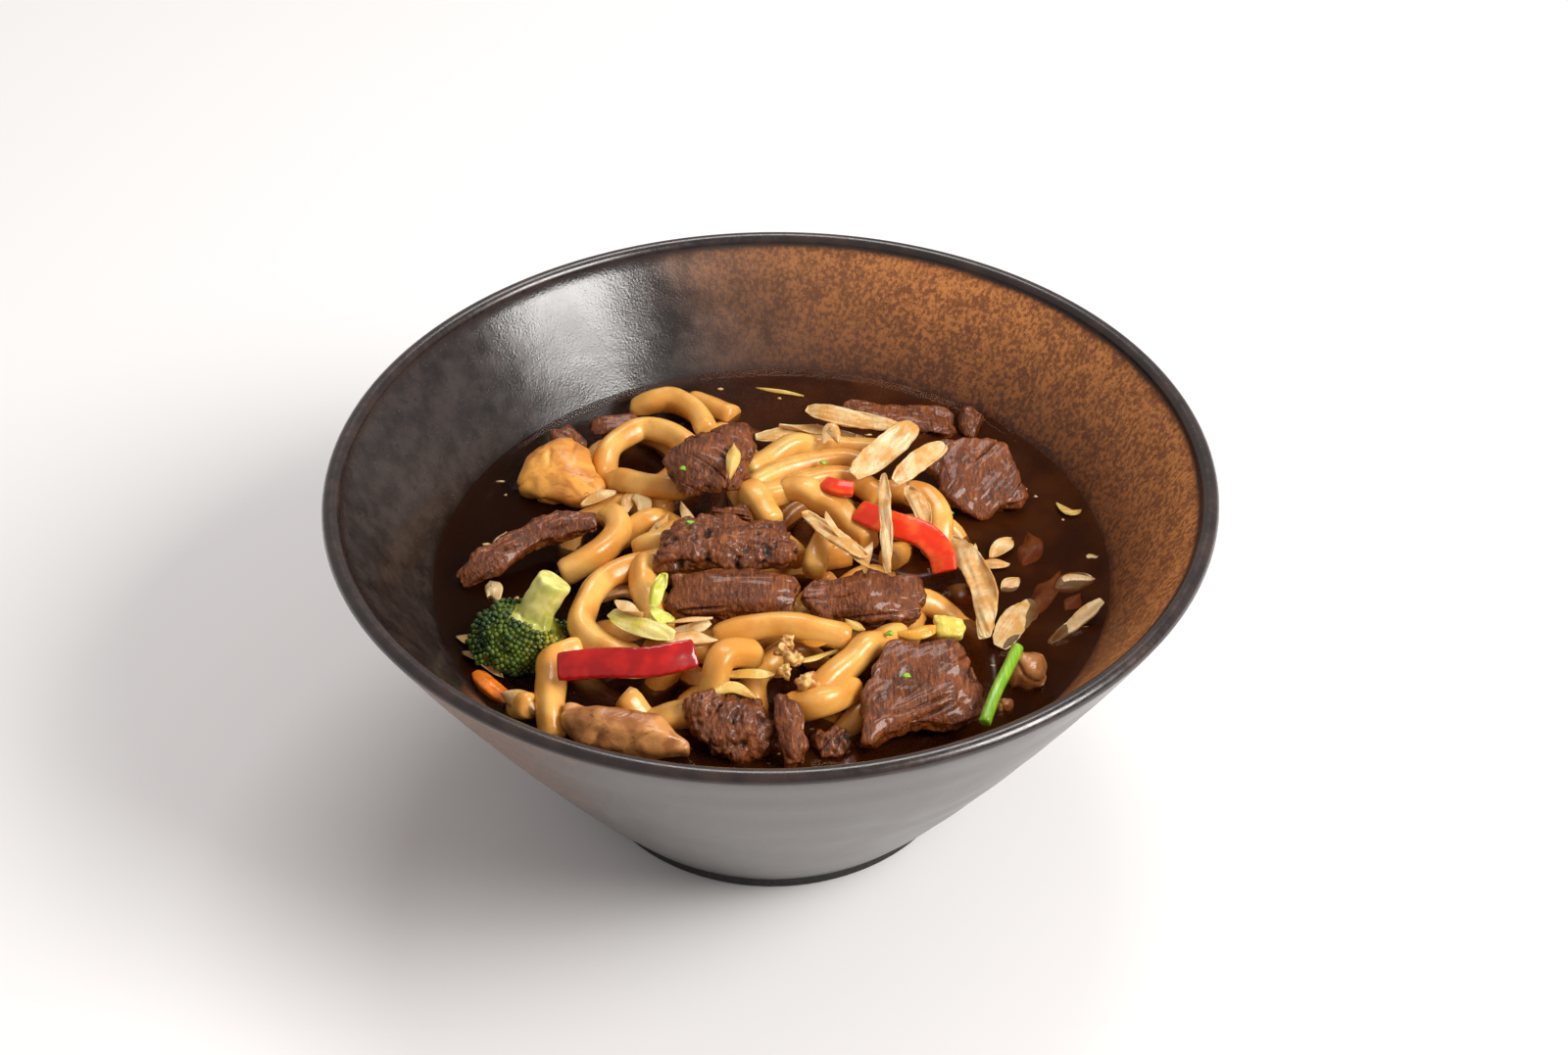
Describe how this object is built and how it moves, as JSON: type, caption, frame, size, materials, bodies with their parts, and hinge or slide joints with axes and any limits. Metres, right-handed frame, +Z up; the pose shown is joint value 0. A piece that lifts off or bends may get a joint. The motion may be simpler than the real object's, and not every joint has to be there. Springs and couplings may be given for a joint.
{
  "type": "bowl of beef udon noodles",
  "caption": "Conical stoneware bowl filled with dark broth, thick wheat noodles, braised beef slices, mushroom, cabbage, pepper and broccoli.",
  "frame": {"origin": "middle of the face the bowl stands on, on the bowl's axis", "axes": "+Z up along the bowl axis; -Y is the front, the side with the red pepper strip and the mushroom slice; +X is to the right seen from the front"},
  "size_m": [0.21, 0.21, 0.093],
  "materials": {
    "bowl": "dark brown reactive glaze with rust speckle inside, satin grey outside",
    "broth": "clear dark soy broth, glossy",
    "noodles": "wet, cream coloured",
    "beef": "braised, fibrous, wet",
    "mushroom": "cooked, glossy skin",
    "broccoli": "cooked, dark green buds on a pale stem",
    "pepper": "wet red skin",
    "cabbage": "cooked, pale and translucent",
    "carrot": "cooked, wet",
    "chive": "fresh green"
  },
  "bodies": {
    "root": {"beef_front": "beef", "beef_front_fold": "beef", "beef_front_right": "beef", "beef_front_small": "beef", "beef_left": "beef", "beef_middle": "beef", "beef_middle_back": "beef", "beef_middle_fold": "beef", "beef_middle_right": "beef", "beef_rear": "beef", "beef_rear_corner": "beef", "beef_rear_end": "beef", "beef_rear_left": "beef", "beef_right": "beef", "beef_top": "beef", "bowl": "bowl", "broccoli": "broccoli", "broth": "broth", "cabbage_core": "cabbage", "cabbage_fan": "cabbage", "cabbage_fan_low": "cabbage", "cabbage_fan_right": "cabbage", "cabbage_floating": "cabbage", "cabbage_frill": "cabbage", "cabbage_left": "cabbage", "cabbage_rear": "cabbage", "cabbage_rear_low": "cabbage", "cabbage_right": "cabbage", "cabbage_split": "cabbage", "cabbage_tail": "cabbage", "cabbage_tip": "cabbage", "cabbage_upright": "cabbage", "carrot_piece": "carrot", "chive": "chive", "mushroom_front": "mushroom", "mushroom_left": "mushroom", "mushroom_right": "mushroom", "mushroom_small": "mushroom", "noodles": "noodles", "pepper_back": "pepper", "pepper_bit": "pepper", "pepper_front": "pepper"}
  },
  "joints": []
}
